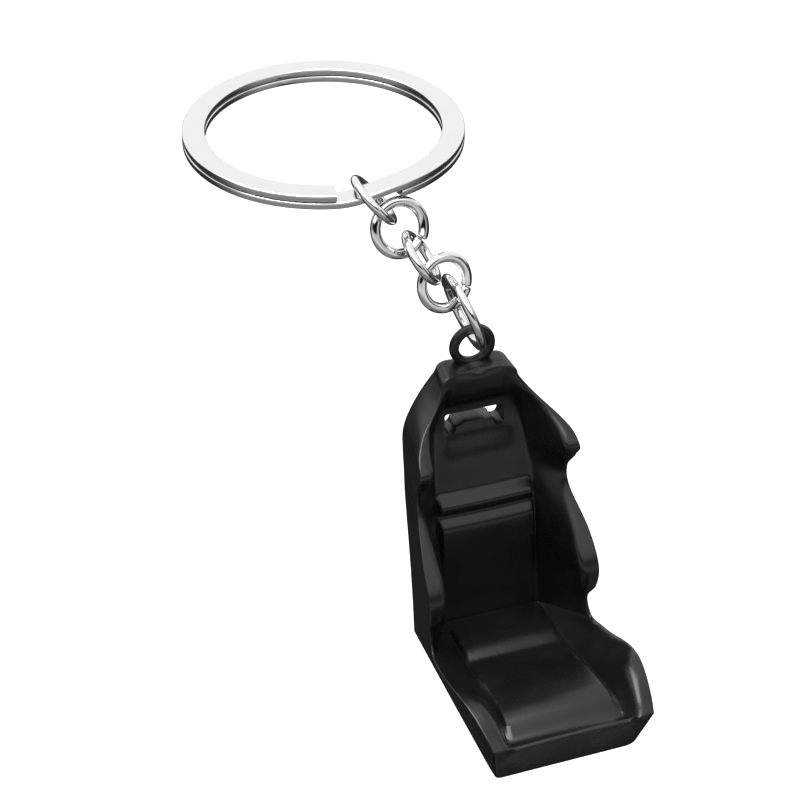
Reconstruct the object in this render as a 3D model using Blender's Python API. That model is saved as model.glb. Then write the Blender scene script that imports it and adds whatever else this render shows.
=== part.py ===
"""Key charm: a racing bucket seat on a short wire chain and a flat-wire split ring.

Metres, +Z up.  The origin is the middle of the split ring, which lies level.  The chain
leads down and towards -Y to the seat, which stands upright and faces -Y.
"""
from math import cos, pi, radians, sin

import bmesh
import bpy
from mathutils import Matrix, Vector

MM = 0.001

# Split ring: two turns of flat steel wire, joined by one step from the upper turn to the lower
RING_OUTER = 15.0 * MM
RING_BAND = 2.43 * MM
RING_WIRE = 0.75 * MM
RING_GAP = 0.10 * MM
RING_EDGE = 0.16 * MM
RING_PITCH = RING_WIRE + RING_GAP
RING_SECTIONS = 144
# Headings round the ring are counted in degrees from here; the step runs between these two
RING_START = -19.5
STEP_FROM = 34.0
STEP_TO = 6.8

# Chain: four small round links and one larger jump ring, each cut once and closed
LINK_RADIUS = 2.73 * MM
LINK_WIRE = 0.62 * MM
JUMP_RADIUS = 3.97 * MM
JUMP_WIRE = 0.65 * MM
# Winding spreads the wire across its bend, so it is a little thinner along the link's axis
WIRE_FLATTENING = 0.84
WIRE_CUT = 3.0
PLAY = 0.12 * MM
LINK_STEPS = 40
WIRE_SIDES = 8

# Where the first link crosses the split ring, and how far its middle hangs from the flat wire
FIRST_LINK_AT = 20.0
FIRST_LINK_DROP = 1.18 * MM

# How each link hangs, in degrees: lean from straight down, heading, turn about its own length,
# and how far the contacts above and below sit from its two ends; the last one places the cut
CHAIN = (
    ("chain_link_1", 40.5, -0.5, -87.5, -2.5, -15.5, 60),
    ("chain_link_2", 32, -32, -44.5, 7, 1, 21),
    ("chain_link_3", 36, 1.5, -76.5, -18.5, -8, 95),
    ("chain_link_4", 28, -20.5, -35, 12.5, 18, 48),
    ("jump_ring", 27.5, 52, -43, -10.5, -21, 95),
)

# Seat charm, measured from the middle of its eyelet
EYELET_HOLE = 1.55 * MM
EYELET_OUTER = 2.6 * MM
EYELET_DEPTH = 1.0 * MM
EYELET_EDGE = 0.38 * MM
EYELET_SECTIONS = 32
# The neck narrows from its foot on the headrest up to the eyelet: half width and height of each
NECK_FOOT = (2.4 * MM, -3.4 * MM)
NECK_HEAD = (1.5 * MM, -1.9 * MM)
NECK_HALF_DEPTH = 0.6 * MM
# Harness slot through the backrest: two round lobes with a hump between them
SLOT_HALF = 3.4 * MM
SLOT_TOP = -7.5 * MM
SLOT_BOTTOM = -10.1 * MM
SLOT_LOBE = 0.6 * MM
SLOT_HUMP_HALF = 0.85 * MM
SLOT_HUMP = 0.9 * MM
SLOT_ARC_STEPS = 6
SLOT_CUTTER_REACH = 12.0 * MM
# Width of the bolsters' flat tops, and the shell's rear points as shares of its half width
BOLSTER_TOP = 1.6
BOLSTER_FULL_AT = 9.0
REAR_SHARES = (-1.0, -0.9, -0.6, -0.3, 0.0, 0.3, 0.6, 0.9, 1.0)

# Down the seat from headrest to front lip, in millimetres: the pad (y, z) and its half width,
# the bolster edge (y, z) and its half width, and the shell behind (y, z) and its half width
SEAT = (
    (-2.3, -1.9, 2.9, -2.6, -2.0, 4.4, 1.2, -1.7, 4.0),
    (-2.1, -3.9, 3.4, -3.6, -4.0, 5.5, 1.5, -4.3, 5.4),
    (-1.4, -6.3, 4.2, -5.3, -6.4, 7.3, 1.5, -7.0, 6.6),
    (-1.6, -9.0, 5.0, -9.0, -9.0, 9.1, 1.2, -9.6, 7.6),
    (-2.3, -11.2, 5.3, -8.4, -11.0, 9.1, 0.8, -11.8, 7.8),
    (-3.1, -13.4, 5.4, -7.0, -13.4, 8.8, 0.2, -14.0, 7.9),
    (-4.2, -16.2, 5.6, -7.7, -15.8, 8.9, -0.4, -16.6, 8.0),
    (-5.2, -19.2, 5.7, -11.6, -19.1, 9.7, -1.1, -19.6, 8.0),
    (-5.7, -22.2, 5.7, -14.2, -22.2, 9.9, -1.8, -22.8, 8.0),
    (-6.2, -25.6, 5.7, -14.1, -25.1, 9.8, -2.5, -26.2, 8.0),
    (-6.9, -29.0, 5.7, -12.9, -27.5, 9.4, -3.2, -30.4, 8.0),
    (-7.5, -31.4, 5.7, -14.0, -29.4, 9.5, -3.8, -34.8, 8.0),
    (-11.3, -31.3, 5.7, -16.3, -29.1, 9.8, -9.0, -34.8, 8.0),
    (-15.1, -31.2, 5.8, -18.7, -28.4, 10.0, -13.5, -34.8, 8.0),
    (-19.0, -30.6, 6.0, -21.6, -27.3, 10.1, -17.5, -34.8, 8.0),
    (-23.0, -30.0, 6.2, -24.7, -26.6, 10.0, -21.5, -34.8, 8.0),
    (-26.5, -29.7, 6.4, -27.6, -26.9, 9.7, -25.0, -34.8, 8.0),
    (-29.2, -30.0, 6.6, -29.9, -27.8, 9.4, -27.5, -34.8, 8.0),
    (-31.0, -29.3, 6.8, -31.3, -28.7, 9.1, -29.2, -34.8, 7.9),
)


def clear_scene():
    for thing in list(bpy.data.objects):
        bpy.data.objects.remove(thing, do_unlink=True)


def finish(name, colour, roughness, metallic):
    material = bpy.data.materials.new(name)
    material.use_nodes = True
    shader = material.node_tree.nodes["Principled BSDF"]
    shader.inputs["Base Color"].default_value = (*colour, 1.0)
    shader.inputs["Roughness"].default_value = roughness
    shader.inputs["Metallic"].default_value = metallic
    return material


def add_mesh(name, points, faces, material, place=None):
    """One named object from points in its own frame, with its faces turned outwards."""
    mesh = bpy.data.meshes.new(name)
    mesh.from_pydata(points, [], faces)
    form = bmesh.new()
    form.from_mesh(mesh)
    bmesh.ops.recalc_face_normals(form, faces=form.faces)
    form.to_mesh(mesh)
    form.free()
    mesh.materials.append(material)
    piece = bpy.data.objects.new(name, mesh)
    bpy.context.collection.objects.link(piece)
    if place is not None:
        piece.matrix_world = place
    return piece


def smooth(piece, degrees=35.0):
    piece.data.shade_smooth()
    piece.data.set_sharp_from_angle(angle=radians(degrees))


def sweep(sections):
    """Faces that join equal closed sections one after another, with both ends closed."""
    count = len(sections[0])
    points = [point for section in sections for point in section]
    faces = []
    for row in range(len(sections) - 1):
        for side in range(count):
            after = (side + 1) % count
            a = row * count
            b = a + count
            faces.append((a + side, a + after, b + after, b + side))
    faces.append(tuple(range(count)))
    faces.append(tuple(range(len(points) - count, len(points))))
    return points, faces


def ease(value):
    value = min(max(value, 0.0), 1.0)
    return value * value * (3.0 - 2.0 * value)


# Split ring ---------------------------------------------------------------------------------

def ring_heading(psi):
    """Outward direction, psi degrees anticlockwise of the ring's starting heading."""
    angle = radians(RING_START + psi - 90.0)
    return Vector((cos(angle), sin(angle), 0.0))


def ring_height(psi):
    """Height of the upper turn's middle, and of the step that leads down from it."""
    down = ease((STEP_FROM - psi) / (STEP_FROM - STEP_TO))
    return RING_PITCH * (0.5 - down)


def band_section(heading, middle):
    """Flat wire with its four corners eased, across the ring at one heading."""
    half_band = RING_BAND / 2
    half_wire = RING_WIRE / 2
    outline = []
    for across, up in ((1, 1), (-1, 1), (-1, -1), (1, -1)):
        near = (across * half_band, up * (half_wire - RING_EDGE))
        far = (across * (half_band - RING_EDGE), up * half_wire)
        outline += [near, far] if across * up > 0 else [far, near]
    return [middle + heading * out + Vector((0, 0, rise)) for out, rise in outline]


def make_split_ring(material):
    travel = 720.0 - (STEP_FROM - STEP_TO)
    middle_radius = RING_OUTER - RING_BAND / 2
    sections = []
    for step in range(RING_SECTIONS + 1):
        along = travel * step / RING_SECTIONS
        psi = STEP_TO - along
        heading = ring_heading(psi)
        if along < 180.0:
            height = RING_PITCH / 2
        elif along < 540.0:
            height = ring_height(psi + 360.0)
        else:
            height = -RING_PITCH / 2
        sections.append(band_section(heading, heading * middle_radius + Vector((0, 0, height))))
    ring = add_mesh("split_ring", *sweep(sections), material)
    smooth(ring)
    return ring


# Chain --------------------------------------------------------------------------------------

def hanging_direction(lean, heading):
    lean = radians(lean)
    heading = radians(heading)
    return Vector((sin(lean) * cos(heading), sin(lean) * sin(heading), -cos(lean)))


def facing(direction, turn):
    """Axis of a link that hangs along a direction, turned about that direction."""
    across = direction.cross(Vector((0, 0, 1))).normalized()
    ahead = direction.cross(across)
    turn = radians(turn)
    return across * cos(turn) + ahead * sin(turn)


def plan_chain():
    """Place every link from the one above it: name, middle, axis, radii, pivot, pivot axis, cut."""
    crossing = ring_heading(FIRST_LINK_AT)
    wire_middle = RING_OUTER - RING_BAND / 2
    pivot = crossing * wire_middle + Vector((0, 0, ring_height(FIRST_LINK_AT)))
    pivot_axis = Vector((0, 0, 1)).cross(crossing)
    contact = pivot.copy()
    plan = []
    for number, (name, lean, heading, turn, slip_above, slip_below, cut) in enumerate(CHAIN):
        radius = JUMP_RADIUS if name == "jump_ring" else LINK_RADIUS
        wire = JUMP_WIRE if name == "jump_ring" else LINK_WIRE
        direction = hanging_direction(lean, heading)
        axis = facing(direction, turn)
        side = axis.cross(direction)
        reach = radius - wire - PLAY / 2
        above = radians(slip_above)
        below = radians(slip_below)
        drop = direction * cos(above) + side * sin(above)
        middle = contact + drop * (FIRST_LINK_DROP if number == 0 else reach)
        plan.append((name, middle, axis, direction, radius, wire, pivot, pivot_axis, cut))
        leave = direction * cos(below) + side * sin(below)
        contact = middle + leave * reach
        pivot = middle + leave * radius
        pivot_axis = axis.cross(leave)
    return plan, contact, pivot, pivot_axis


def make_link(name, middle, axis, direction, radius, wire, pivot, cut, material):
    """Round wire bent once round the axis, cut at one place; its own origin is its pivot."""
    side = axis.cross(direction)
    half_cut = radians(WIRE_CUT / 2)
    sections = []
    for step in range(LINK_STEPS + 1):
        angle = radians(cut) + half_cut + (2 * pi - 2 * half_cut) * step / LINK_STEPS
        out = direction * cos(angle) + side * sin(angle)
        centre = middle + out * radius - pivot
        section = []
        for corner in range(WIRE_SIDES):
            around = 2 * pi * (corner + 0.5) / WIRE_SIDES
            section.append(centre + out * (wire * cos(around)) + axis * (WIRE_FLATTENING * wire * sin(around)))
        sections.append(section)
    link = add_mesh(name, *sweep(sections), material, Matrix.Translation(pivot))
    smooth(link, 50.0)
    return link


# Seat charm ---------------------------------------------------------------------------------

def seat_rows():
    """Front and rear rows of points, from the left edge to the right, for every station."""
    front = []
    rear = []
    for pad_y, pad_z, pad_x, edge_y, edge_z, edge_x, back_y, back_z, back_x in SEAT:
        inner_x = edge_x - BOLSTER_TOP * min(1.0, edge_x / BOLSTER_FULL_AT)
        half = [(0.0, pad_y, pad_z), (0.5 * pad_x, pad_y, pad_z), (pad_x, pad_y, pad_z)]
        half += [(inner_x, edge_y, edge_z), (edge_x, edge_y, edge_z)]
        front.append([Vector((-x, y, z)) * MM for x, y, z in reversed(half[1:])])
        front[-1] += [Vector((x, y, z)) * MM for x, y, z in half]
        rear.append([Vector((share * back_x, back_y, back_z)) * MM for share in REAR_SHARES])
    return front, rear


def seat_body():
    """A bent slab: a front sheet and a rear sheet, stitched together all round their edge."""
    front, rear = seat_rows()
    rows = len(front)
    columns = len(front[0])
    points = [point for row in front for point in row]
    points += [point for row in rear for point in row]
    back = rows * columns
    faces = []
    for row in range(rows - 1):
        for column in range(columns - 1):
            a = row * columns + column
            b = a + columns
            faces.append((a, a + 1, b + 1, b))
            faces.append((back + a, back + b, back + b + 1, back + a + 1))
        for column in (0, columns - 1):
            a = row * columns + column
            faces.append((a, a + columns, back + a + columns, back + a))
    for row in (0, rows - 1):
        for column in range(columns - 1):
            a = row * columns + column
            faces.append((a, a + 1, back + a + 1, back + a))
    return points, faces


def slot_outline():
    """Harness slot seen from the front: square above, with a hump between two lobes below."""
    outline = [(-SLOT_HALF, SLOT_TOP), (SLOT_HALF, SLOT_TOP)]
    lobe_height = SLOT_BOTTOM + SLOT_LOBE
    for centre in (SLOT_HALF - SLOT_LOBE, SLOT_LOBE - SLOT_HALF):
        for step in range(SLOT_ARC_STEPS + 1):
            angle = -pi * step / SLOT_ARC_STEPS
            outline.append((centre + SLOT_LOBE * cos(angle), lobe_height + SLOT_LOBE * sin(angle)))
        if centre > 0:
            hump = lobe_height + SLOT_HUMP
            outline += [(SLOT_HUMP_HALF, hump), (-SLOT_HUMP_HALF, hump)]
    return outline


def prism(outline, front, rear):
    """Sections of an outline in X and Z, pushed from one Y to another."""
    return [[Vector((x, y, z)) for x, z in outline] for y in (front, rear)]


def eyelet_sections():
    """Eyelet as a ring about Y with a soft square section."""
    half = EYELET_DEPTH / 2
    edge = EYELET_EDGE
    profile = ((EYELET_OUTER - edge, -half), (EYELET_OUTER, edge - half),
               (EYELET_OUTER, half - edge), (EYELET_OUTER - edge, half),
               (EYELET_HOLE + edge, half), (EYELET_HOLE, half - edge),
               (EYELET_HOLE, edge - half), (EYELET_HOLE + edge, -half))
    sections = []
    for step in range(EYELET_SECTIONS):
        angle = 2 * pi * step / EYELET_SECTIONS
        out = Vector((sin(angle), 0.0, cos(angle)))
        sections.append([out * r + Vector((0, y, 0)) for r, y in profile])
    return sections


def closed_loop(sections):
    """Faces that join closed sections into one endless loop."""
    count = len(sections[0])
    rows = len(sections)
    points = [point for section in sections for point in section]
    faces = []
    for row in range(rows):
        a = row * count
        b = ((row + 1) % rows) * count
        for side in range(count):
            after = (side + 1) % count
            faces.append((a + side, a + after, b + after, b + side))
    return points, faces


def combine(piece, other, operation):
    """Boolean with a helper shape, which stays as a hidden wire cutter."""
    modifier = piece.modifiers.new(other.name, "BOOLEAN")
    modifier.operation = operation
    modifier.object = other
    modifier.solver = "EXACT"
    other.hide_render = True
    other.display_type = "WIRE"


def make_seat(eyelet, pivot, material):
    """Cast seat with its eyelet; the object's own origin is the pivot on the jump ring's wire."""
    place = Matrix.Translation(pivot)
    shift = eyelet - pivot
    points, faces = seat_body()
    seat = add_mesh("seat_charm", [point + shift for point in points], faces, material, place)
    neck = [(x * side, z) for (x, z), side in
            ((NECK_FOOT, -1), (NECK_FOOT, 1), (NECK_HEAD, 1), (NECK_HEAD, -1))]
    neck_sections = prism(neck, -NECK_HALF_DEPTH, NECK_HALF_DEPTH)
    slot_sections = prism(slot_outline(), -SLOT_CUTTER_REACH, SLOT_CUTTER_REACH)
    shapes = (
        ("eyelet_ring", closed_loop(eyelet_sections()), "UNION"),
        ("eyelet_neck", sweep(neck_sections), "UNION"),
        ("harness_slot", sweep(slot_sections), "DIFFERENCE"),
    )
    for name, (points, faces), operation in shapes:
        shape = add_mesh(name, [point + shift for point in points], faces, material, place)
        combine(seat, shape, operation)
    smooth(seat, 30.0)
    return seat


def main():
    clear_scene()
    nickel = finish("bright_nickel", (0.80, 0.80, 0.79), 0.12, 1.0)
    black = finish("black_enamel", (0.012, 0.012, 0.013), 0.28, 0.0)
    make_split_ring(nickel)
    plan, contact, pivot, pivot_axis = plan_chain()
    for name, middle, axis, direction, radius, wire, hinge, hinge_axis, cut in plan:
        make_link(name, middle, axis, direction, radius, wire, hinge, cut, nickel)
    eyelet = contact - Vector((0, 0, EYELET_HOLE - 2 * PLAY))
    make_seat(eyelet, pivot, black)


main()
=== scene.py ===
# %% [markdown]
# # A racing-seat key charm
#
# The object is a small cast bucket seat in black enamel. Four bright wire links and a larger
# jump ring hang it from a split ring of flat wire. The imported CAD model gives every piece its
# place and its joints; this lesson gives each piece its finished shape and its finish.

# %% Load the frame
from math import cos, pi, radians, sin

import bmesh
import bpy
import numpy as np
from mathutils import Matrix, Vector


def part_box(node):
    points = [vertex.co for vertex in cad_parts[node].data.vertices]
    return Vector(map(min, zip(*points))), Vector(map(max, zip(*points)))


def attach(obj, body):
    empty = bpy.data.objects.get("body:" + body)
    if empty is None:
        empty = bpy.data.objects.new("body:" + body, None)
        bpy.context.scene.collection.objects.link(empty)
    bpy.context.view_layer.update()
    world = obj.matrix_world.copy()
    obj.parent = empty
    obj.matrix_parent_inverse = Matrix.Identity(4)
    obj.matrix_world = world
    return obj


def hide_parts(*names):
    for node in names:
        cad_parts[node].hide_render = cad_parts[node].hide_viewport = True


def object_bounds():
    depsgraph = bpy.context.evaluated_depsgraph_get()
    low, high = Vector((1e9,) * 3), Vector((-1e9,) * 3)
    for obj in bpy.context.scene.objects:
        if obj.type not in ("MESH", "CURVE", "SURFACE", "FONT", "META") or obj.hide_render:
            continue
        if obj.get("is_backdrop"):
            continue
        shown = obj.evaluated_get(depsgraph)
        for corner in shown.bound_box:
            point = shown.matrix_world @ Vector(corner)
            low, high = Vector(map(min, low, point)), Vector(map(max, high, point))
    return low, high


MM = 0.001
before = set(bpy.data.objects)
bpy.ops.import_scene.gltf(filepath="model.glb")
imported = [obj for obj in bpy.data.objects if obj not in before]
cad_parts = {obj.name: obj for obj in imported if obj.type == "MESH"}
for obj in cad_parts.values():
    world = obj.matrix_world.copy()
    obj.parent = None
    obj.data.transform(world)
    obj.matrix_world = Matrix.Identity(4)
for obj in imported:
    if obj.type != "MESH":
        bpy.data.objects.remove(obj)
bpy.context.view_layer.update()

# %% [markdown]
# ## Writing materials as arithmetic
#
# A finish is mostly masks: a little more roughness here, a slightly warmer colour there. Wiring
# those by hand hides the idea, so one small class wraps a socket and lets Python's own
# arithmetic add the Math nodes. A second class adds nodes of any other kind, and the trees for
# shape further down use the same two.

# %% A socket that does arithmetic
class Signal:
    """An output socket of a node tree; arithmetic on it adds Math nodes."""

    def __init__(self, tree, socket):
        self.tree = tree
        self.socket = socket

    def math(self, operation, *values):
        node = self.tree.nodes.new("ShaderNodeMath")
        node.operation = operation
        for place, value in zip(node.inputs, values):
            connect(self.tree, value, place)
        return Signal(self.tree, node.outputs[0])

    def __add__(self, other):
        return self.math("ADD", self, other)

    __radd__ = __add__

    def __sub__(self, other):
        return self.math("SUBTRACT", self, other)

    def __rsub__(self, other):
        return self.math("SUBTRACT", other, self)

    def __mul__(self, other):
        return self.math("MULTIPLY", self, other)

    __rmul__ = __mul__


def connect(tree, value, place):
    """Put a number, a colour or another node's output into a socket."""
    if isinstance(value, Signal):
        tree.links.new(value.socket, place)
    else:
        place.default_value = value


class Wiring:
    """A node tree under construction."""

    def __init__(self, tree):
        self.tree = tree

    def node(self, kind, sockets=None, output=0, **settings):
        """Add a node, fill its sockets and settings, and give back one of its outputs."""
        node = self.tree.nodes.new(kind)
        for setting, value in settings.items():
            setattr(node, setting, value)
        for place, value in (sockets or {}).items():
            connect(self.tree, value, node.inputs[place])
        return Signal(self.tree, node.outputs[output])

    def between(self, value, low, high):
        """0 below low, 1 above high, with a soft step from one to the other."""
        sockets = {"Value": value, "From Min": low, "From Max": high}
        return self.node("ShaderNodeMapRange", sockets, interpolation_type="SMOOTHSTEP")


class Finish(Wiring):
    """A material under construction, with its Principled shader at hand."""

    def __init__(self, name):
        self.material = bpy.data.materials.new(name)
        self.material.use_nodes = True
        super().__init__(self.material.node_tree)
        self.shader = self.tree.nodes["Principled BSDF"]

    def place(self, scale=(1.0, 1.0, 1.0), turn=(0.0, 0.0, 0.0)):
        """Object coordinates, stretched and turned for one pattern."""
        spot = self.node("ShaderNodeTexCoord", output="Object")
        return self.node("ShaderNodeMapping", {"Vector": spot, "Scale": scale, "Rotation": turn})

    def noise(self, where, scale, detail=2.0, rough=0.5):
        sockets = {"Vector": where, "Scale": scale, "Detail": detail, "Roughness": rough}
        return self.node("ShaderNodeTexNoise", sockets)

    def mix(self, share, colour, other):
        sockets = {"Factor": share, 6: colour, 7: other}
        return self.node("ShaderNodeMix", sockets, output=2, data_type="RGBA")

    def set(self, **sockets):
        for place, value in sockets.items():
            connect(self.tree, value, self.shader.inputs[place.replace("_", " ")])

    def bump(self, height, distance, strength=1.0):
        sockets = {"Height": height, "Distance": distance, "Strength": strength}
        self.set(Normal=self.node("ShaderNodeBump", sockets))


# %% [markdown]
# ## Bright nickel on drawn wire
#
# The links are cut from drawn steel wire and nickel plated in a barrel. The plate is almost a
# mirror, so what shows is the studio around it; up close there are hairlines from tumbling
# against the other links and a slow change in polish. Both go into the roughness, with only a
# breath of bump, because a heavier bump would break up the crisp reflections.

# %% Nickel for the wire links
NICKEL = (0.82, 0.82, 0.81, 1.0)
NICKEL_WARM = (0.74, 0.725, 0.70, 1.0)
SCRATCH_TURNS = ((0.3, 0.2, 0.4), (1.1, 0.5, 1.9), (0.2, 1.4, 0.9))
SCRATCH_STRETCH = (9000.0, 500.0, 500.0)


def hairlines(finish, amount):
    """Fine scratches in three directions, as 0 to 1."""
    total = None
    for turn in SCRATCH_TURNS:
        lines = finish.noise(finish.place(SCRATCH_STRETCH, turn), 1.0, 1.0)
        line = finish.between(lines, 1.0 - amount, 1.0)
        total = line if total is None else total + line
    return total


def wire_nickel():
    finish = Finish("nickel_wire")
    clouds = finish.noise(finish.place(), 420.0, 3.0)
    scratches = hairlines(finish, 0.42)
    finish.set(Base_Color=finish.mix(finish.between(clouds, 0.35, 0.75) * 0.35, NICKEL, NICKEL_WARM))
    finish.set(Metallic=1.0, Roughness=0.045 + clouds * 0.05 + scratches * 0.10)
    finish.bump(scratches, 0.0000015, 0.35)
    return finish.material


nickel_wire = wire_nickel()
print("wire finish nodes:", len(nickel_wire.node_tree.nodes))

# %% [markdown]
# ## Bright nickel on flat wire
#
# The split ring is flat wire coiled on edge. Its faces are rolled, so faint lines run round the
# ring with the wire, and keys leave short nicks across them. The lines are noise read from the
# distance to the ring's axis, which keeps them concentric however the ring is seen.

# %% Nickel for the split ring
LEVEL = (1.0, 1.0, 0.0)
LINES_PER_METRE = 9000.0
BREAKS_ROUND = 4.0


def ring_nickel():
    finish = Finish("nickel_flat_wire")
    spot = finish.node("ShaderNodeTexCoord", output="Object")
    level = finish.node("ShaderNodeVectorMath", {0: spot, 1: LEVEL}, operation="MULTIPLY")
    reach = finish.node("ShaderNodeVectorMath", {0: level}, output="Value", operation="LENGTH")
    x, y, z = (finish.node("ShaderNodeSeparateXYZ", {0: spot}, output=axis) for axis in "XYZ")
    heading = x.math("ARCTAN2", y, x)
    polar = finish.node("ShaderNodeCombineXYZ", {
        0: reach * LINES_PER_METRE, 1: heading * BREAKS_ROUND, 2: z * LINES_PER_METRE})
    rolled = finish.noise(polar, 1.0, 2.0)
    clouds = finish.noise(finish.place(), 260.0, 3.0)
    nicks = hairlines(finish, 0.40)
    finish.set(Base_Color=finish.mix(finish.between(clouds, 0.35, 0.75) * 0.25, NICKEL, NICKEL_WARM))
    finish.set(Metallic=1.0, Roughness=0.09 + clouds * 0.06 + rolled * 0.06 + nicks * 0.08)
    finish.bump(rolled + nicks * 0.5, 0.0000012, 0.35)
    return finish.material


nickel_flat = ring_nickel()

# %% [markdown]
# ## Black enamel on a zinc casting
#
# The seat is cast in zinc and sprayed with semi-gloss black enamel. Sprayed enamel dries with a
# fine orange peel and pools a little in corners. Along edges that stand out the colour is painted
# a touch greyer and the enamel made smoother: partly wear from keys, partly a painted highlight
# for the thin light lines that catch there. Otherwise the shape itself carries the light, so the
# colour stays near black, and the edge mask is a number worked out once per vertex from how
# sharply the surface bends.

# %% Black enamel
ENAMEL = (0.0036, 0.0036, 0.0038, 1.0)
ENAMEL_DUSTY = (0.0062, 0.0062, 0.0064, 1.0)
# Painted highlight and wear: a lighter grey for edges that stand out, standing in for the thin
# highlights there as well as rubbing
ENAMEL_SHEEN_AND_WEAR = (0.022, 0.022, 0.023, 1.0)


def black_enamel():
    finish = Finish("black_enamel")
    clouds = finish.noise(finish.place(), 160.0, 3.0)
    peel = finish.noise(finish.place(), 1500.0, 2.0)
    grit = finish.noise(finish.place(), 7000.0, 2.0, 0.6)
    # Along edges that stand out the colour is painted lighter: partly a painted highlight, partly wear
    edge_sheen_and_wear = finish.node("ShaderNodeAttribute", output="Fac", attribute_name="edge")
    edge_sheen_and_wear = edge_sheen_and_wear * finish.between(finish.noise(finish.place(), 900.0, 3.0), 0.42, 0.70)
    dusty = finish.mix(finish.between(clouds, 0.35, 0.7), ENAMEL, ENAMEL_DUSTY)
    finish.set(Base_Color=finish.mix(edge_sheen_and_wear * 0.7, dusty, ENAMEL_SHEEN_AND_WEAR))
    finish.set(Roughness=0.22 + clouds * 0.08 + grit * 0.04 - edge_sheen_and_wear * 0.06)
    finish.set(IOR=1.45)
    finish.bump(peel + grit * 0.25, 0.000012, 0.22)
    return finish.material


enamel = black_enamel()

# %% [markdown]
# ## The split ring
#
# The real ring is one length of flat wire wound twice and pressed flat, with a short step where
# the upper turn drops to become the lower one. Geometry Nodes follow that rule: a path of many
# points is bent round the ring, lowered through the step, and a flat profile with eased corners
# is swept along it. The wire's normal is kept level, as the coiled wire is.

# %% A builder for node trees
class Plan(Wiring):
    """A Geometry Nodes tree with named inputs, filled in step by step."""

    def __init__(self, name, inputs):
        super().__init__(bpy.data.node_groups.new(name, "GeometryNodeTree"))
        self.sockets = {}
        side = self.tree.interface
        side.new_socket("Geometry", in_out="OUTPUT", socket_type="NodeSocketGeometry")
        for label, kind in inputs:
            self.sockets[label] = side.new_socket(label, in_out="INPUT", socket_type=kind)
        self.entry = self.tree.nodes.new("NodeGroupInput")
        self.exit = self.tree.nodes.new("NodeGroupOutput")

    def given(self, label):
        return Signal(self.tree, self.entry.outputs[label])

    def finish(self, geometry, finish):
        """End in plain geometry with its finish on it."""
        solid = self.node("GeometryNodeRealizeInstances", {0: geometry})
        smooth = self.node("GeometryNodeSetShadeSmooth", {0: solid})
        dressed = self.node("GeometryNodeSetMaterial", {0: smooth, "Material": finish})
        self.tree.links.new(dressed.socket, self.exit.inputs[0])


def grow(plan, name, values):
    """Run a tree once with the given inputs and keep the result as a plain mesh object."""
    seed = bpy.data.objects.new(name, bpy.data.meshes.new(name))
    bpy.context.collection.objects.link(seed)
    modifier = seed.modifiers.new("grow", "NODES")
    modifier.node_group = plan.tree
    for label, value in values.items():
        modifier[plan.sockets[label].identifier] = value
    seed.update_tag()
    depsgraph = bpy.context.evaluated_depsgraph_get()
    mesh = bpy.data.meshes.new_from_object(seed.evaluated_get(depsgraph), depsgraph=depsgraph)
    bpy.data.objects.remove(seed, do_unlink=True)
    piece = bpy.data.objects.new(name, mesh)
    bpy.context.collection.objects.link(piece)
    return piece


# %% The split ring's tree
RING_BAND = 2.43 * MM
RING_WIRE = 0.75 * MM
RING_GAP = 0.10 * MM
RING_EDGE = 0.17 * MM
RING_START = radians(-109.5)
STEP_FROM = radians(34.0)
STEP_TO = radians(6.8)
RING_SECTIONS = 900


def split_ring_plan():
    plan = Plan("split_ring_rule", (
        ("Outer Radius", "NodeSocketFloat"), ("Band", "NodeSocketFloat"),
        ("Wire", "NodeSocketFloat"), ("Pitch", "NodeSocketFloat"), ("Finish", "NodeSocketMaterial")))
    travel = 4 * pi - (STEP_FROM - STEP_TO)
    line = plan.node("GeometryNodeCurvePrimitiveLine", {"End": (0.0, 0.0, 1.0)})
    path = plan.node("GeometryNodeResampleCurve", {"Curve": line, "Count": RING_SECTIONS})
    along = plan.node("GeometryNodeSplineParameter") * travel
    psi = STEP_TO - along
    pitch = plan.given("Pitch")
    sockets = {"Value": psi + 2 * pi, "From Min": STEP_TO, "From Max": STEP_FROM}
    step = plan.node("ShaderNodeMapRange", sockets, interpolation_type="SMOOTHSTEP")
    middle = plan.given("Outer Radius") - plan.given("Band") * 0.5
    heading = psi + RING_START
    spot = plan.node("ShaderNodeCombineXYZ", {
        "X": middle * heading.math("COSINE", heading), "Y": middle * heading.math("SINE", heading),
        "Z": pitch * (step - 0.5)})
    bent = plan.node("GeometryNodeSetPosition", {"Geometry": path, "Position": spot})
    level = plan.node("GeometryNodeSetCurveNormal", {"Curve": bent}, mode="Z_UP")
    sockets = {"Width": plan.given("Band"), "Height": plan.given("Wire")}
    flat = plan.node("GeometryNodeCurvePrimitiveQuadrilateral", sockets)
    sockets = {"Curve": flat, "Count": 5, "Radius": RING_EDGE}
    eased = plan.node("GeometryNodeFilletCurve", sockets, mode="POLY")
    sockets = {"Curve": level, "Profile Curve": eased, "Fill Caps": True}
    swept = plan.node("GeometryNodeCurveToMesh", sockets)
    plan.finish(swept, plan.given("Finish"))
    return plan


def soften(piece, degrees):
    """Smooth shading, with real edges kept sharp."""
    piece.data.shade_smooth()
    piece.data.set_sharp_from_angle(angle=radians(degrees))


ring_low, ring_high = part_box("split_ring")
split_ring = grow(split_ring_plan(), "split_ring_wire", {
    "Outer Radius": (ring_high.x - ring_low.x) / 2, "Band": RING_BAND, "Wire": RING_WIRE,
    "Pitch": RING_WIRE + RING_GAP, "Finish": nickel_flat})
soften(split_ring, 50.0)
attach(split_ring, "ring")
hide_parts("split_ring")
print("split ring faces:", len(split_ring.data.polygons))

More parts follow.
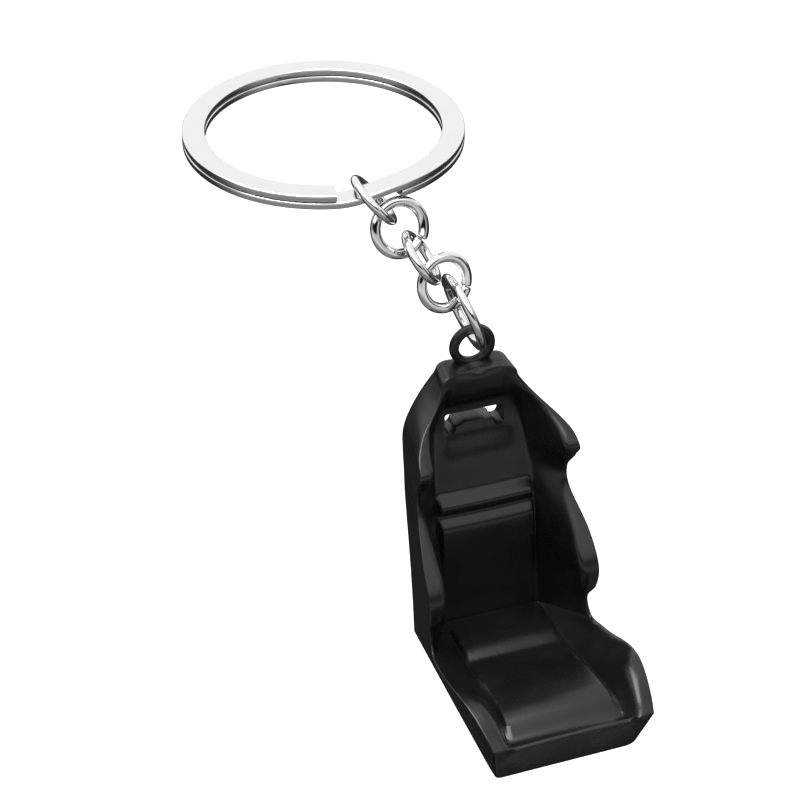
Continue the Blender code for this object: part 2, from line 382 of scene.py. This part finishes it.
# %% [markdown]
# ## The wire links
#
# A link is a round wire wound on a rod, cut off, and pressed shut, so a fine seam stays where its
# two ends meet. All five follow one rule with different sizes, which makes them a job for one
# small tree: an arc that is nearly a full circle, ends a hair out of line, and a round profile
# that narrows over about the last fifth of a millimetre, as a sheared end does. Each is then laid
# on its CAD node: the node's own points give the ring's plane, its middle and its seam.

# %% The link's tree
LINK_SECTIONS = 180
WIRE_SIDES = 28
TAPER_SHARE = 0.02
TAPER_TO = 0.86


def link_plan():
    plan = Plan("wire_link_rule", (
        ("Radius", "NodeSocketFloat"), ("Wire", "NodeSocketFloat"), ("Flat", "NodeSocketFloat"),
        ("Seam", "NodeSocketFloat"), ("Ends Apart", "NodeSocketFloat"),
        ("Finish", "NodeSocketMaterial")))
    seam = plan.given("Seam")
    sockets = {"Resolution": LINK_SECTIONS, "Radius": plan.given("Radius"), "Start Angle": seam * 0.5,
               "Sweep Angle": 2 * pi - seam}
    arc = plan.node("GeometryNodeCurveArc", sockets, mode="RADIUS")
    along = plan.node("GeometryNodeSplineParameter")
    side = (along - 0.5).math("SIGN", along - 0.5)
    far = (along - 0.5).math("ABSOLUTE", along - 0.5) * 2.0
    spread = plan.given("Ends Apart") * side * far.math("POWER", far, 6.0) * 0.5
    offset = plan.node("ShaderNodeCombineXYZ", {"Z": spread})
    bent = plan.node("GeometryNodeSetPosition", {"Geometry": arc, "Offset": offset})
    level = plan.node("GeometryNodeSetCurveNormal", {"Curve": bent}, mode="Z_UP")
    sockets = {"Value": 1.0 - far, "From Min": 0.0, "From Max": TAPER_SHARE, "To Min": TAPER_TO}
    taper = plan.node("ShaderNodeMapRange", sockets, interpolation_type="SMOOTHERSTEP")
    sockets = {"Resolution": WIRE_SIDES, "Radius": plan.given("Wire")}
    round_wire = plan.node("GeometryNodeCurvePrimitiveCircle", sockets)
    squash = plan.node("ShaderNodeCombineXYZ", {"X": 1.0, "Y": plan.given("Flat"), "Z": 1.0})
    oval = plan.node("GeometryNodeTransform", {"Geometry": round_wire, "Scale": squash})
    sockets = {"Curve": level, "Profile Curve": oval, "Scale": taper, "Fill Caps": True}
    swept = plan.node("GeometryNodeCurveToMesh", sockets)
    plan.finish(swept, plan.given("Finish"))
    return plan


wire_link = link_plan()


# %% Lay each link on its CAD node
def measure_link(node):
    """Middle, plane axis, seam direction, ring radius, wire radius and wire height of a link."""
    points = np.array([vertex.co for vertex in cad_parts[node].data.vertices], float)
    points = np.unique(points.round(9), axis=0)
    directions = np.linalg.svd(points - points.mean(0), full_matrices=False)[2]
    across, axis = directions[0], directions[2]
    other = np.cross(axis, across)
    flat = np.c_[points @ across, points @ other]
    terms = np.c_[2 * flat, np.ones(len(flat))]
    fitted = np.linalg.lstsq(terms, (flat ** 2).sum(1), rcond=None)[0]
    spread = flat - fitted[:2]
    reach = np.hypot(*spread.T)
    turn = np.sort(np.arctan2(spread[:, 1], spread[:, 0]))
    gaps = np.diff(np.r_[turn, turn[0] + 2 * pi])
    widest = int(gaps.argmax())
    cut = turn[widest] + gaps[widest] / 2
    height = points @ axis
    middle = across * fitted[0] + other * fitted[1] + axis * (height.max() + height.min()) / 2
    towards = across * cos(cut) + other * sin(cut)
    outer, inner = reach.max(), reach.min()
    wire = (outer - inner) / 2
    tall = (height.max() - height.min()) / 2
    return Vector(middle), Vector(axis), Vector(towards), (outer + inner) / 2, wire, tall


# CAD node, body, width of the seam in degrees, and how far its ends stand apart in mm
LINKS = (
    ("chain_link_1", "link_1", 2.2, 0.10),
    ("chain_link_2", "link_2", 4.6, -0.42),
    ("chain_link_3", "link_3", 2.0, 0.12),
    ("chain_link_4", "link_4", 2.4, 0.16),
    ("jump_ring", "jump", 1.8, 0.10),
)
for node, body, seam, apart in LINKS:
    middle, axis, towards, radius, wire, tall = measure_link(node)
    link = grow(wire_link, node + "_wire", {
        "Radius": radius, "Wire": wire, "Flat": tall / wire, "Seam": radians(seam),
        "Ends Apart": apart * MM, "Finish": nickel_wire})
    across = axis.cross(towards)
    place = Matrix((towards, across, axis)).transposed().to_4x4()
    link.data.transform(Matrix.Translation(middle) @ place)
    soften(link, 50.0)
    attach(link, body)
    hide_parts(node)
    print(node, "radius %.3f mm, wire %.3f by %.3f mm" % (radius / MM, wire / MM, tall / MM))

# %% [markdown]
# ## The seat's lengthwise lines
#
# A bucket seat is a folded shell: a backrest and a cushion with a raised bolster down each side.
# Three lines describe it from headrest to front lip, each at the same stations: the pad in the
# middle, the crest of the bolsters, and the shell behind. Smooth curves through the stations
# give each line anywhere. The pad and the shell fold between backrest and cushion, and the crest
# runs on smoothly. A rule like this is easier to keep fair than pushing vertices about, and it
# follows the CAD solid.

# %% Stations and smooth lines through them
# Millimetres from the middle of the eyelet: pad y, z and half width, bolster crest y, z and
# half width, shell y, z and half width
STATIONS = np.array((
    (-2.3, -1.9, 2.9, -2.6, -2.0, 4.4, 1.2, -1.7, 4.0),
    (-2.1, -3.9, 3.4, -3.6, -4.0, 5.5, 1.5, -4.3, 5.4),
    (-1.4, -6.3, 4.2, -5.3, -6.4, 7.3, 1.5, -7.0, 6.6),
    (-1.6, -9.0, 5.0, -9.0, -9.0, 9.1, 1.2, -9.6, 7.6),
    (-2.3, -11.2, 5.3, -8.4, -11.0, 9.1, 0.8, -11.8, 7.8),
    (-3.1, -13.4, 5.4, -7.0, -13.4, 8.8, 0.2, -14.0, 7.9),
    (-4.2, -16.2, 5.6, -7.7, -15.8, 8.9, -0.4, -16.6, 8.0),
    (-5.2, -19.2, 5.7, -11.6, -19.1, 9.7, -1.1, -19.6, 8.0),
    (-5.7, -22.2, 5.7, -14.2, -22.2, 9.9, -1.8, -22.8, 8.0),
    (-6.2, -25.6, 5.7, -14.1, -25.1, 9.8, -2.5, -26.2, 8.0),
    (-6.9, -29.0, 5.7, -12.9, -27.5, 9.4, -3.2, -30.4, 8.0),
    (-7.5, -31.4, 5.7, -14.0, -29.4, 9.5, -3.8, -34.8, 8.0),
    (-11.3, -31.3, 5.7, -16.3, -29.1, 9.8, -9.0, -34.8, 8.0),
    (-15.1, -31.2, 5.8, -18.7, -28.4, 10.0, -13.5, -34.8, 8.0),
    (-19.0, -30.6, 6.0, -21.6, -27.3, 10.1, -17.5, -34.8, 8.0),
    (-23.0, -30.0, 6.2, -24.7, -26.6, 10.0, -21.5, -34.8, 8.0),
    (-26.5, -29.7, 6.4, -27.6, -26.9, 9.7, -25.0, -34.8, 8.0),
    (-29.2, -30.0, 6.6, -29.9, -27.8, 9.4, -27.5, -34.8, 8.0),
    (-31.0, -29.3, 6.8, -31.3, -28.7, 9.1, -29.2, -34.8, 7.9),
))
FOLD = 11
CREST = slice(3, 6)


def smooth_line(rows, at):
    """A smooth curve through rows of numbers, read at a fractional row."""
    last = len(rows) - 1
    index = min(int(at), last - 1)
    share = at - index
    start, end = rows[index], rows[index + 1]
    before = rows[max(index - 1, 0)]
    after = rows[min(index + 2, last)]
    leave = (end - before) / 2
    arrive = (after - start) / 2
    square, cube = share ** 2, share ** 3
    return (start * (2 * cube - 3 * square + 1) + leave * (cube - 2 * square + share)
            + end * (3 * square - 2 * cube) + arrive * (cube - square))


def station(at):
    """All nine numbers at a fractional station; pad and shell fold at the corner."""
    if at <= FOLD:
        row = smooth_line(STATIONS[:FOLD + 1], at)
    else:
        row = smooth_line(STATIONS[FOLD:], at - FOLD)
    row = row.copy()
    row[CREST] = smooth_line(STATIONS[:, CREST], at)
    return row


def rise(value, low, high):
    """0 to 1 with soft ends as value goes from low to high; high may be the smaller one."""
    share = min(max((value - low) / (high - low), 0.0), 1.0)
    return share * share * (3 - 2 * share)


def hill(value, start, peak, end):
    """A soft rise to 1 at the peak and a soft fall back to 0."""
    return rise(value, start, peak) * rise(value, end, peak)


# %% [markdown]
# ## Relief of the pads
#
# The casting imitates upholstery. Two rolls cross the lower back, the cushion is split into a
# short rear pad and a long front one that both roll down at their front edge, and the
# harness slot sits in a shallow dish. Each is a small height over the pad's plain surface, so
# they are written as functions of where a point is.

# %% Heights over the pads
# All heights are in mm, and all places along the seat in stations
CROWN = 0.16
# Each roll across the back: its height, where it starts, its top, and where it has faded out
ROLLS = ((0.86, 5.86, 6.34, 6.80), (0.74, 6.62, 7.20, 10.4))
REAR_PAD = 0.60
REAR_PAD_UP = (FOLD + 0.1, 12.0)
REAR_PAD_DOWN = (13.08, 12.3)
FRONT_PAD_EDGE = 0.35
FRONT_PAD_EDGE_UP = (12.94, 13.4)
FRONT_PAD_FILL = 0.40
FRONT_PAD_FILL_UP = (13.2, 15.0)
FRONT_PAD_DOWN = (17.35, 15.4)


def pad_height(at, share):
    """Height of the upholstery relief; share runs 0 at the middle to 1 at the pad's edge."""
    edge = rise(share, 1.0, 0.93)
    height = CROWN * (1 - share ** 2) * rise(at, 3.2, 4.5)
    if at <= FOLD:
        for tall, start, top, end in ROLLS:
            height += tall * edge * hill(at, start, top, end)
        return height
    height += REAR_PAD * edge * rise(at, *REAR_PAD_UP) * rise(at, *REAR_PAD_DOWN) ** 0.7
    front = FRONT_PAD_EDGE * rise(at, *FRONT_PAD_EDGE_UP) + FRONT_PAD_FILL * rise(at, *FRONT_PAD_FILL_UP)
    return height + edge * front * rise(at, *FRONT_PAD_DOWN)


# The dish round the harness slot: its depth, and the mm over which its sides, top and foot fall
DISH = 0.42
DISH_SIDE = (4.9, 3.2)
DISH_TOP = (-5.4, -6.6)
DISH_FOOT = (-12.9, -9.9)


def dish_depth(x, z):
    return DISH * rise(abs(x), *DISH_SIDE) * rise(z, *DISH_TOP) * rise(z, *DISH_FOOT)


def crest_width(at):
    """Width of the bolsters' flat tops: a lens on each wing and bolster, and a band at the front."""
    wing_lens = 1.35 * hill(at, 1.2, 3.4, 5.3)
    bolster_lens = 1.75 * hill(at, 5.3, 7.8, 10.7)
    front_band = 1.5 * rise(at, 14.4, 15.4)
    return 0.35 + wing_lens + bolster_lens + front_band


def crest_swell(at):
    """How far the crests of the wings and of the cushion's sides swell past the stations' line."""
    return 0.35 * hill(at, 1.4, 2.5, 3.1) + 0.25 * hill(at, 12.5, 14.5, 17.5)


# %% [markdown]
# ## From lines to a cast body
#
# At every station the casting's outline is a polygon: across the pad, up the bolster, over its
# crest, down the outside and back along the shell. Each corner gets its own radius, since the
# moulded edges differ: crisp along the outer rim, softer where the pad meets the bolster, and
# generous on the inner shoulder and behind. Equal counts of points let one section join the
# next, and a few shrinking sections round off both ends.

# %% Outline of one station
# Radii in mm, and how many points each stretch of the outline gets
FOOT_EASE = 0.45
CREST_EASE = 0.8
CREST_EASE_AT_TOP = 0.35
OUTER_EASE = 0.25
REAR_EASE = 1.0
PAD_POINTS = 15
FLANK_POINTS = 9
CREST_POINTS = 3
SPINE_POINTS = 12
FOOT_POINTS = 5
CORNER_POINTS = 7
RELIEF_POINTS = 1 + PAD_POINTS + FOOT_POINTS


def eased_corner(before, corner, after, radius, count):
    """Points of a rounded corner, never taking more than 0.45 of the edges beside it."""
    back, ahead = before - corner, after - corner
    reach_back = min(radius, 0.45 * back.length)
    reach_ahead = min(radius, 0.45 * ahead.length)
    start = corner + back.normalized() * reach_back
    end = corner + ahead.normalized() * reach_ahead
    shares = [step / (count - 1) for step in range(count)]
    return [start * (1 - s) ** 2 + corner * (2 * s * (1 - s)) + end * s ** 2 for s in shares]


def straight(start, end, count):
    """Points strictly between two ends."""
    return [start.lerp(end, step / (count + 1)) for step in range(1, count + 1)]


def half_outline(at):
    """Right half of the casting's outline, from the middle of the pad to the middle behind."""
    pad_y, pad_z, pad_x, crest_y, crest_z, crest_x, back_y, back_z, back_x = station(at)
    crest_x += crest_swell(at)
    inner_x = crest_x - min(crest_width(at), 0.3 * (crest_x - pad_x) + 1.0)
    pad = Vector((0.0, pad_y, pad_z))
    foot = Vector((pad_x, pad_y, pad_z))
    inner = Vector((inner_x, crest_y, crest_z))
    outer = Vector((crest_x, crest_y, crest_z))
    rear = Vector((back_x, back_y, back_z))
    spine = Vector((0.0, back_y, back_z))
    crest_ease = CREST_EASE * (CREST_EASE_AT_TOP + (1 - CREST_EASE_AT_TOP) * rise(at, 0.0, 2.0))
    foot_arc = eased_corner(pad, foot, inner, FOOT_EASE, FOOT_POINTS)
    inner_arc = eased_corner(foot, inner, outer, crest_ease, CORNER_POINTS)
    outer_arc = eased_corner(inner, outer, rear, OUTER_EASE, CORNER_POINTS)
    rear_arc = eased_corner(outer, rear, spine, REAR_EASE, CORNER_POINTS)
    points = [pad] + straight(pad, foot_arc[0], PAD_POINTS) + foot_arc
    points += straight(foot_arc[-1], inner_arc[0], FLANK_POINTS) + inner_arc
    points += straight(inner_arc[-1], outer_arc[0], CREST_POINTS) + outer_arc
    points += straight(outer_arc[-1], rear_arc[0], FLANK_POINTS) + rear_arc
    points += straight(rear_arc[-1], spine, SPINE_POINTS) + [spine]
    out = Vector((0.0, pad_y - back_y, pad_z - back_z)).normalized()
    for number, point in enumerate(points[:RELIEF_POINTS]):
        share = point.x / pad_x
        if share < 1.0:
            lift = pad_height(at, share)
            if at < FOLD:
                lift -= dish_depth(point.x, point.z)
            points[number] = point + out * lift
    return points


def whole_outline(at):
    """Both halves of the outline, as one closed polygon."""
    half = half_outline(at)
    left = [Vector((-point.x, point.y, point.z)) for point in reversed(half[1:-1])]
    return half + left


# %% Rows of outlines, with rounded ends
ROWS_PER_STATION = 14
TOP_RADIUS = 1.1
FRONT_RADIUS = 0.4
END_ROWS = 8


def rounded_end(outline, outward, radius):
    """Sections that shrink as they move outwards, to round the last edge of a sweep."""
    middle = sum(outline, Vector()) / len(outline)
    rows = []
    for step in range(1, END_ROWS + 1):
        angle = 0.5 * pi * step / END_ROWS
        shrink = radius * (1 - cos(angle))
        ahead = outward * (radius * sin(angle))
        row = []
        for point in outline:
            inward = middle - point
            row.append(point + inward.normalized() * min(shrink, 0.9 * inward.length) + ahead)
        rows.append(row)
    return rows


def body_rows():
    """Every section of the seat, from the top of the headrest to the front lip."""
    last = len(STATIONS) - 1
    shares = np.linspace(0.0, last, last * ROWS_PER_STATION + 1)
    rows = [whole_outline(float(at)) for at in shares]
    top, front = Vector((0.0, 0.0, 1.0)), Vector((0.0, -1.0, 0.0))
    # Draw both ends in by the radius that rounds them
    for number, at in enumerate(shares):
        drop = top * TOP_RADIUS * rise(at, 3.0, 0.0)
        rows[number] = [point - drop for point in rows[number]]
    rows[-1] = [point - front * FRONT_RADIUS for point in rows[-1]]
    rows = rounded_end(rows[0], top, TOP_RADIUS)[::-1] + rows
    return rows + rounded_end(rows[-1], front, FRONT_RADIUS)


def mesh_from_rows(name, rows, closed=False):
    """Join equal closed outlines into a solid; the ends get flat caps unless it closes on itself."""
    count = len(rows[0])
    points = [point * MM for row in rows for point in row]
    faces = []
    for row in range(len(rows) if closed else len(rows) - 1):
        near, far = row * count, ((row + 1) % len(rows)) * count
        for side in range(count):
            after = (side + 1) % count
            faces.append((near + side, near + after, far + after, far + side))
    if not closed:
        faces.append(tuple(range(count)))
        faces.append(tuple(range(len(points) - count, len(points))))
    mesh = bpy.data.meshes.new(name)
    mesh.from_pydata(points, [], faces)
    form = bmesh.new()
    form.from_mesh(mesh)
    bmesh.ops.recalc_face_normals(form, faces=form.faces)
    bmesh.ops.triangulate(form, faces=[face for face in form.faces if len(face.verts) > 4])
    form.to_mesh(mesh)
    form.free()
    piece = bpy.data.objects.new(name, mesh)
    bpy.context.collection.objects.link(piece)
    return piece


# The eyelet's outer radius and its distance behind the front lip, in mm
EYELET_OUTER = 2.6
EYELET_BEHIND_LIP = 31.3
seat_low, seat_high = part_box("seat_charm")
eyelet = Vector(((seat_low.x + seat_high.x) / 2, seat_low.y + EYELET_BEHIND_LIP * MM,
                 seat_high.z - EYELET_OUTER * MM))
seat = mesh_from_rows("seat_casting", body_rows())
print("seat body faces:", len(seat.data.polygons))

# %% [markdown]
# ## Eyelet and harness slot
#
# The eyelet is cast in one with the seat: a soft-edged ring whose neck flares into the top of
# the headrest. The slot goes right through the backrest, square above and with a hump between
# two round lobes below. Booleans suit both, because the real tool does the same: one mould
# cavity joined to another, and one core pulled out.

# %% Eyelet ring and its neck
# In mm; the neck's half widths are across and deep
EYELET_HOLE = 1.55
EYELET_HALF_DEPTH = 0.52
EYELET_SECTIONS = 96
EYELET_SIDES = 20
NECK_TOP = -1.85
NECK_DROP = 1.5
NECK_HALF = (1.45, 0.50)
NECK_FLARE = (2.3, 0.85)
NECK_STEPS = 14
NECK_SIDES = 32


def soft_square(turn, power):
    """A point of a square with rounded corners, at an angle; a higher power makes it squarer."""
    reach = (abs(cos(turn)) ** power + abs(sin(turn)) ** power) ** (-1 / power)
    return reach * cos(turn), reach * sin(turn)


def eyelet_rows():
    """Sections round the eyelet ring, each a soft square."""
    rows = []
    middle = (EYELET_OUTER + EYELET_HOLE) / 2
    half = (EYELET_OUTER - EYELET_HOLE) / 2
    for step in range(EYELET_SECTIONS):
        angle = 2 * pi * step / EYELET_SECTIONS
        out = Vector((sin(angle), 0.0, cos(angle)))
        row = []
        for corner in range(EYELET_SIDES):
            away, deep = soft_square(2 * pi * corner / EYELET_SIDES, 2.6)
            row.append(out * (middle + half * away) + Vector((0.0, EYELET_HALF_DEPTH * deep, 0.0)))
        rows.append(row)
    return rows


def neck_rows():
    """A foot that flares from the eyelet down into the headrest."""
    rows = []
    for step in range(NECK_STEPS + 1):
        down = step / NECK_STEPS
        half_x = NECK_HALF[0] + NECK_FLARE[0] * down ** 2.0
        half_y = NECK_HALF[1] + NECK_FLARE[1] * down ** 2.2
        row = []
        for corner in range(NECK_SIDES):
            x, y = soft_square(2 * pi * corner / NECK_SIDES, 3)
            row.append(Vector((half_x * x, half_y * y - 0.1 * down, NECK_TOP - NECK_DROP * down)))
        rows.append(row)
    return rows


# %% Harness slot
# In mm, with heights measured from the middle of the eyelet
SLOT_HALF = 3.4
SLOT_TOP = -7.8
SLOT_LOBE = 0.6
SLOT_LOBE_HEIGHT = -9.5
SLOT_HUMP = 0.38
SLOT_CORNER = 0.3
CORNER_STEPS = 4
LOBE_STEPS = 12
HUMP_STEPS = 8
# The core's sections from front to back: its place, and how much larger it is there
SLOT_SECTIONS = ((-6.0, 0.08), (-1.5, 0.08), (-1.0, 0.0), (1.0, 0.0), (1.4, 0.25), (5.0, 0.3))


def slot_outline(grow_by):
    """The slot seen from the front, made larger all round by grow_by."""
    reach = SLOT_HALF + grow_by
    lobe = SLOT_LOBE + grow_by
    centre = SLOT_HALF - SLOT_LOBE
    top = SLOT_TOP + grow_by
    outline = []
    for side in (-1, 1):
        for step in range(CORNER_STEPS + 1):
            angle = pi / 2 * ((2 if side < 0 else 1) - step / CORNER_STEPS)
            x = side * (reach - SLOT_CORNER) + SLOT_CORNER * cos(angle)
            outline.append((x, top - SLOT_CORNER + SLOT_CORNER * sin(angle)))
    for side in (1, -1):
        for step in range(LOBE_STEPS + 1):
            angle = -pi * step / LOBE_STEPS
            outline.append((side * centre + lobe * cos(angle), SLOT_LOBE_HEIGHT + lobe * sin(angle)))
        if side > 0:
            for step in range(HUMP_STEPS + 1):
                share = step / HUMP_STEPS
                hump = SLOT_HUMP * rise(min(share, 1 - share), 0.0, 0.3)
                x = (centre - lobe) * (1 - 2 * share)
                outline.append((x, SLOT_LOBE_HEIGHT + hump - 0.4 * grow_by))
    return outline


def slot_rows():
    """Sections of the core that cuts the slot."""
    return [[Vector((x, y, z)) for x, z in slot_outline(grow_by)] for y, grow_by in SLOT_SECTIONS]


# %% Join and cut
def cut_or_join(piece, other, operation):
    """Apply one exact Boolean and drop the helper."""
    modifier = piece.modifiers.new(other.name, "BOOLEAN")
    modifier.operation = operation
    modifier.object = other
    modifier.solver = "EXACT"
    depsgraph = bpy.context.evaluated_depsgraph_get()
    piece.data = bpy.data.meshes.new_from_object(piece.evaluated_get(depsgraph))
    piece.modifiers.clear()
    bpy.data.objects.remove(other, do_unlink=True)


cut_or_join(seat, mesh_from_rows("eyelet_ring", eyelet_rows(), closed=True), "UNION")
cut_or_join(seat, mesh_from_rows("eyelet_neck", neck_rows()), "UNION")
cut_or_join(seat, mesh_from_rows("slot_core", slot_rows()), "DIFFERENCE")


# %% [markdown]
# ## Where the enamel rubs, and its painted edge highlight
#
# Enamel wears first on edges that stand out, and thin highlights catch along them; the enamel
# paints both there as a lighter grey. How much the surface bends at a vertex is easy to measure
# once in the script: compare the vertex with the average of its neighbours, along the normal.
# The result is stored as an attribute that the enamel reads.

# %% Edge attribute and placing
EDGE_GAIN = 4.0
SHORTEST = 1e-7


def mark_edges(mesh):
    """Store, at every vertex, how much it stands out: 0 on flats and in corners, 1 on edges."""
    form = bmesh.new()
    form.from_mesh(mesh)
    form.normal_update()
    layer = form.verts.layers.float.new("edge")
    for vertex in form.verts:
        around = [edge.other_vert(vertex).co for edge in vertex.link_edges]
        away = vertex.co - sum(around, Vector()) / len(around)
        length = sum((other - vertex.co).length for other in around) / len(around)
        bend = away.dot(vertex.normal) / max(length, SHORTEST)
        vertex[layer] = min(max(EDGE_GAIN * bend, 0.0), 1.0)
    form.to_mesh(mesh)
    form.free()


seat.data.materials.clear()
seat.data.materials.append(enamel)
mark_edges(seat.data)
soften(seat, 38.0)
seat.data.transform(Matrix.Translation(eyelet))
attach(seat, "seat")
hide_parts("seat_charm")
print("seat casting faces:", len(seat.data.polygons))

# %% [markdown]
# ## Floor and light
#
# Bright metal shows its surroundings more than itself, and enamel shows them faintly. So the
# studio is drawn as a sky by direction: bright behind and overhead, and grey below. A black card
# above the horizon on the viewer's side puts the crisp dark line on every wire, and a dark flag
# stands at each side. The floor is pale and hidden from reflections, so the sky below the
# horizon can be a tone of its own. One softbox hangs above, a little to the left and behind.

# %% Floor
# In metres
FLOOR_HALF = 2.5
FLOOR_BELOW = 0.16
FLOOR_PAINT = (0.90, 0.90, 0.90, 1.0)
FLOOR_PAINT_LIGHTER = (0.94, 0.94, 0.94, 1.0)


def plain_floor():
    """A pale floor well below the charm, seen by the camera but not by reflections."""
    finish = Finish("pale_floor")
    grain = finish.noise(finish.place(), 60.0, 4.0)
    finish.set(Base_Color=finish.mix(grain, FLOOR_PAINT, FLOOR_PAINT_LIGHTER))
    finish.set(Roughness=0.85)
    height = seat_low.z - FLOOR_BELOW
    mesh = bpy.data.meshes.new("floor")
    corners = [(x * FLOOR_HALF, y * FLOOR_HALF, height) for x, y in ((-1, -1), (1, -1), (1, 1), (-1, 1))]
    mesh.from_pydata(corners, [], [(0, 1, 2, 3)])
    mesh.materials.append(finish.material)
    floor = bpy.data.objects.new("floor", mesh)
    bpy.context.collection.objects.link(floor)
    floor.visible_glossy = False
    floor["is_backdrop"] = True


plain_floor()

# %% Sky
AZIMUTH = radians(-19.5)
VIEWER = (sin(AZIMUTH), -cos(AZIMUTH), 0.0)
VIEWER_RIGHT = (cos(AZIMUTH), sin(AZIMUTH), 0.0)
CARD_BLACK = 0.985
FLAG_BLACK = 0.85


def studio_sky():
    """Brightness of the sky from how high, how far in front and how far aside a direction is."""
    world = bpy.data.worlds.new("studio")
    bpy.context.scene.world = world
    world.use_nodes = True
    sky = Wiring(world.node_tree)
    way = sky.node("ShaderNodeTexCoord", output="Generated")
    up = sky.node("ShaderNodeSeparateXYZ", {0: way}, output="Z")
    flat = sky.node("ShaderNodeVectorMath", {0: way, 1: LEVEL}, operation="MULTIPLY")
    heading = sky.node("ShaderNodeVectorMath", {0: flat}, operation="NORMALIZE")
    front, side = (sky.node("ShaderNodeVectorMath", {0: heading, 1: direction}, output="Value",
                            operation="DOT_PRODUCT") for direction in (VIEWER, VIEWER_RIGHT))
    # Masks from 0 to 1: over the horizon, near overhead, and on the viewer's side
    above = sky.between(up, -0.03, 0.03)
    overhead = sky.between(up, 0.44, 0.52)
    ahead = sky.between(front, -0.25, 0.55)
    upper = 0.60 + 0.46 * sky.between(front, 0.35, -0.35)
    upper = upper + 0.90 * overhead * sky.between(front, 0.0, 0.5)
    lower = 0.03 + 0.22 * ahead + 0.42 * ahead * sky.between(up, -0.45, -0.12)
    lower = lower + 0.07 * sky.between(up, -0.50, -0.08)
    # The black card, and the flags at both sides
    card = sky.between(front, 0.55, 0.63) * sky.between(up, 0.16, 0.20) * (1.0 - overhead)
    flags = sky.between(side.math("ABSOLUTE", side), 0.93, 0.96) * sky.between(up, -0.35, -0.30)
    flags = flags * (1.0 - sky.between(up, 0.30, 0.35))
    glow = (lower + (upper - lower) * above) * (1.0 - card * CARD_BLACK) * (1.0 - flags * FLAG_BLACK)
    background = sky.tree.nodes["Background"]
    connect(sky.tree, glow, background.inputs["Strength"])
    background.inputs["Color"].default_value = (1.0, 1.0, 1.0, 1.0)


studio_sky()


# %% Softbox
SOFTBOX_FROM_CHARM = Vector((-0.15, 0.10, 0.60))
SOFTBOX_SIZE = (0.5, 0.4)
SOFTBOX_WATTS = 5.0


def soft_lamp(name, at, towards, size, power):
    """A rectangular area lamp, turned to face a point."""
    lamp = bpy.data.lights.new(name, "AREA")
    lamp.shape = "RECTANGLE"
    lamp.size, lamp.size_y = size
    lamp.energy = power
    body = bpy.data.objects.new(name, lamp)
    body.location = at
    body.rotation_euler = (Vector(towards) - Vector(at)).to_track_quat("-Z", "Y").to_euler()
    bpy.context.collection.objects.link(body)


shown_low, shown_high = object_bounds()
charm_middle = (shown_low + shown_high) / 2
soft_lamp("top_softbox", charm_middle + SOFTBOX_FROM_CHARM, charm_middle, SOFTBOX_SIZE, SOFTBOX_WATTS)

# %% [markdown]
# ## Camera
#
# The charm is seen from above and a little to its right-hand side, with a long lens close in, so
# the seat's front lip is nearer and larger than the ring. The camera is placed by its angles
# and distance from a point in the chain, and looks straight at it.

# %% Camera
ELEVATION = radians(35.493)
DISTANCE = 0.25
AIM = Vector((0.0035, -0.01442, -0.02617))
SENSOR = 36.0
FOCAL = 103.86

back = Vector((sin(AZIMUTH) * cos(ELEVATION), -cos(AZIMUTH) * cos(ELEVATION), sin(ELEVATION)))
view = bpy.data.cameras.new("view")
view.sensor_width = SENSOR
view.lens = FOCAL
view.clip_start = 0.01
view.clip_end = 20.0
camera = bpy.data.objects.new("camera", view)
camera.location = AIM + back * DISTANCE
camera.rotation_euler = (pi / 2 - ELEVATION, 0.0, AZIMUTH)
bpy.context.collection.objects.link(camera)
bpy.context.scene.camera = camera
bpy.context.scene.view_settings.view_transform = "Standard"
